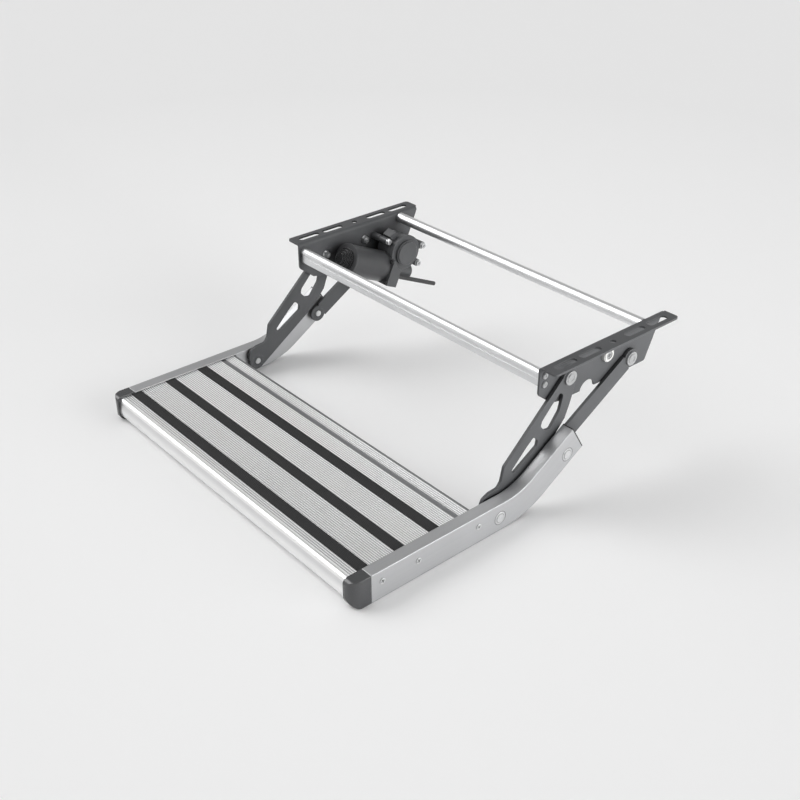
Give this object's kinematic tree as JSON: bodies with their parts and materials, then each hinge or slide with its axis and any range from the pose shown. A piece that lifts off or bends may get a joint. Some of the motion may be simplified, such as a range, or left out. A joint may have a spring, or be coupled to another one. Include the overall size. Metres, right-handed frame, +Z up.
{
  "type": "electric fold-out caravan step",
  "caption": "Electric fold-out caravan step: ribbed aluminium tread with grip strips between side rails, hung on flat steel arms from slotted brackets and driven by a worm gear motor.",
  "frame": {"origin": "midway between the two round centre holes, on the mounting face of the flanges", "axes": "+X to the right seen from outside the vehicle, +Y under the vehicle, +Z up"},
  "size_m": [0.554, 0.5605, 0.19],
  "materials": {
    "coated_steel": "fine textured dark grey powder coat",
    "mill_aluminium": "satin anodised extrusion",
    "bright_tube": "drawn bright tube",
    "zinc_steel": "zinc plated",
    "white_nylon": "moulded",
    "cast_housing": "painted die casting",
    "motor_steel": "satin paint",
    "black_plastic": "moulded",
    "black_screw": "black oxide",
    "ferrite": "sintered",
    "bronze": "machined",
    "cable_sheath": "smooth sheath",
    "grip_rubber": "gritty anti-slip strip",
    "grey_plastic": "fine grained moulding"
  },
  "bodies": {
    "frame": {"bracket_left": "coated_steel", "bracket_right": "coated_steel", "front_profile": "mill_aluminium", "rear_tube": "bright_tube", "profile_screw_left_upper": "zinc_steel", "profile_screw_left_lower": "zinc_steel", "profile_screw_right_upper": "zinc_steel", "profile_screw_right_lower": "zinc_steel", "pin_a_left": "zinc_steel", "pin_a_right": "zinc_steel", "pin_b_right": "zinc_steel", "stop_screw_left": "zinc_steel", "stop_screw_right": "zinc_steel", "stop_nut_left": "zinc_steel", "stop_nut_right": "zinc_steel", "gear_bolt_front": "zinc_steel", "gear_bolt_rear": "zinc_steel", "gear_bolt_low": "zinc_steel", "stop_ring_left": "white_nylon", "stop_ring_right": "white_nylon", "gear_housing": "cast_housing", "gear_cover": "cast_housing", "motor_can": "motor_steel", "motor_cap": "black_plastic", "cable_gland": "black_plastic", "motor_screw_upper": "black_screw", "motor_screw_lower": "black_screw", "magnet_upper": "ferrite", "magnet_lower": "ferrite", "output_bush": "bronze", "motor_cable": "cable_sheath"},
    "rear_arm_left": {"rear_arm_left": "coated_steel", "drive_shaft": "zinc_steel", "worm_wheel": "bronze"},
    "rear_arm_right": {"rear_arm_right": "coated_steel"},
    "front_arm_left": {"front_arm_left": "coated_steel", "foot_pin_left": "zinc_steel"},
    "front_arm_right": {"front_arm_right": "coated_steel", "foot_pin_right": "zinc_steel"},
    "tread": {"tread_board": "mill_aluminium", "grip_strip_front": "grip_rubber", "grip_strip_middle": "grip_rubber", "grip_strip_rear": "grip_rubber", "rail_left": "mill_aluminium", "rail_right": "mill_aluminium", "end_cap_left": "grey_plastic", "end_cap_right": "grey_plastic", "rail_screw_left_front": "zinc_steel", "rail_screw_left_middle": "zinc_steel", "rail_screw_left_rear": "zinc_steel", "rail_screw_right_front": "zinc_steel", "rail_screw_right_middle": "zinc_steel", "rail_screw_right_rear": "zinc_steel", "leg_pin_left": "zinc_steel", "leg_pin_right": "zinc_steel", "foot_stud_left": "zinc_steel", "foot_stud_right": "zinc_steel", "rail_plug_left": "black_plastic", "rail_plug_right": "black_plastic"},
    "armature": {"armature": "motor_steel"}
  },
  "joints": [
    {"name": "fold", "type": "hinge", "parent": "frame", "child": "rear_arm_left", "pos_m": [-0.25295, 0.052, -0.0465], "axis": [1, 0, 0], "range_deg": [0, 106]},
    {"name": "fold_right", "type": "hinge", "parent": "frame", "child": "rear_arm_right", "pos_m": [0.25295, 0.052, -0.0465], "axis": [1, 0, 0], "range_deg": [0, 106.5]},
    {"name": "front_left", "type": "hinge", "parent": "frame", "child": "front_arm_left", "pos_m": [-0.25295, -0.0695, -0.03], "axis": [1, 0, 0], "range_deg": [0, 80.76]},
    {"name": "front_right", "type": "hinge", "parent": "frame", "child": "front_arm_right", "pos_m": [0.25295, -0.0695, -0.03], "axis": [1, 0, 0], "range_deg": [0, 80.76]},
    {"name": "tread_level", "type": "hinge", "parent": "rear_arm_left", "child": "tread", "pos_m": [-0.25295, -0.08658, -0.12845], "axis": [1, 0, 0], "range_deg": [-112.09, 0]},
    {"name": "motor_spin", "type": "hinge", "parent": "frame", "child": "armature", "pos_m": [-0.219, 0.03816, -0.07646], "axis": [0, 0.9078, -0.4195], "range_deg": [0, 4245]}
  ],
  "couplings": [
    {"joint": "fold_right", "follows": "fold", "ratio": 1},
    {"joint": "front_left", "follows": "fold", "ratio": 0.7572},
    {"joint": "front_right", "follows": "fold", "ratio": 0.7572},
    {"joint": "tread_level", "follows": "fold", "ratio": -1.0527},
    {"joint": "motor_spin", "follows": "fold", "ratio": 40}
  ]
}
